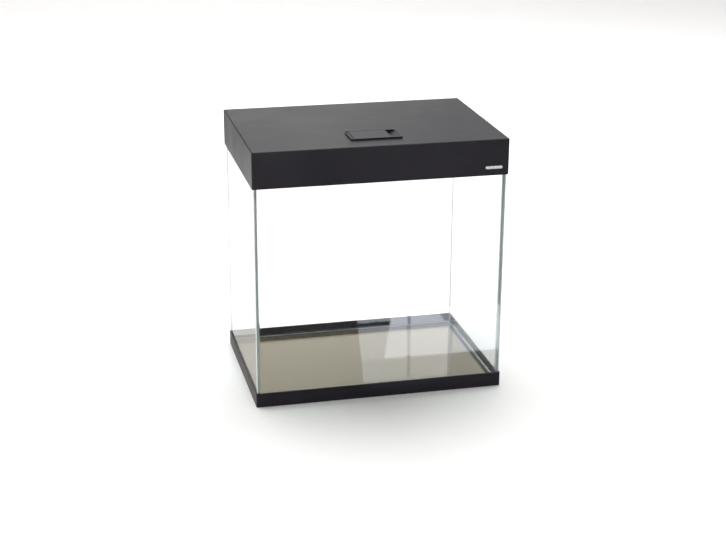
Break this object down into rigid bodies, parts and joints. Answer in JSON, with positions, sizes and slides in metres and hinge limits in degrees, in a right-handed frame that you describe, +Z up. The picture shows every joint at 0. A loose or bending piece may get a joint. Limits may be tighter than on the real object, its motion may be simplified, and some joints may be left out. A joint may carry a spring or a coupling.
{
  "type": "glass aquarium tank with hood",
  "caption": "Rectangular glass aquarium in a shallow black base frame, with a deep black lift-off hood, a hinged feeding hatch and a turning lamp tube.",
  "frame": {"origin": "centre of the footprint, on the surface that the tank stands on", "axes": "+X to the right seen from the front, +Y to the back, +Z up"},
  "size_m": [0.414, 0.287, 0.429],
  "materials": {
    "black_plastic": "satin black moulded plastic",
    "mat_foam": "dark closed-cell foam sheet",
    "clear_glass": "polished float glass with a faint green edge",
    "silicone": "clear silicone sealant",
    "bright_steel": "bright stainless steel",
    "black_rubber": "soft black rubber",
    "pale_trim": "plain pale printed strip",
    "lamp_aluminium": "satin anodised extrusion",
    "frosted_plastic": "frosted diffuser",
    "board_white": "white solder mask",
    "led_yellow": "phosphor over a pale package",
    "cap_plastic": "grey moulded plastic",
    "clip_plastic": "translucent white moulded clip"
  },
  "bodies": {
    "tank": {"base_frame": "black_plastic", "foam_mat": "mat_foam", "bottom_glass": "clear_glass", "front_glass": "clear_glass", "back_glass": "clear_glass", "left_glass": "clear_glass", "right_glass": "clear_glass", "floor_silicone": "silicone", "front_left_silicone": "silicone", "front_right_silicone": "silicone", "back_left_silicone": "silicone", "back_right_silicone": "silicone"},
    "hood": {"hood_shell": "black_plastic", "hatch_bezel": "black_plastic", "cable_grommet": "black_rubber", "front_badge": "pale_trim", "lamp_clip_left": "clip_plastic", "lamp_clip_right": "clip_plastic", "lamp_clip_screws": "bright_steel"},
    "door": {"hatch_door": "black_plastic", "hatch_hinge_pin": "bright_steel"},
    "lamp": {"lamp_housing": "lamp_aluminium", "lamp_diffuser": "frosted_plastic", "led_board": "board_white", "led_chips": "led_yellow", "lamp_end_cap_left": "cap_plastic", "lamp_end_cap_right": "cap_plastic", "lamp_cap_screws": "bright_steel", "lamp_cable_gland": "black_rubber"}
  },
  "joints": [
    {"name": "hood_lift", "type": "slide", "parent": "tank", "child": "hood", "axis": [0, 0, 1], "range_m": [0, 0.12]},
    {"name": "hatch_hinge", "type": "hinge", "parent": "hood", "child": "door", "pos_m": [-0.0383, -0.0815, 0.4267], "axis": [0, -1, 0], "range_deg": [0, 95]},
    {"name": "lamp_tilt", "type": "hinge", "parent": "hood", "child": "lamp", "pos_m": [0, 0.02, 0.403], "axis": [1, 0, 0], "range_deg": [-30, 30]}
  ]
}
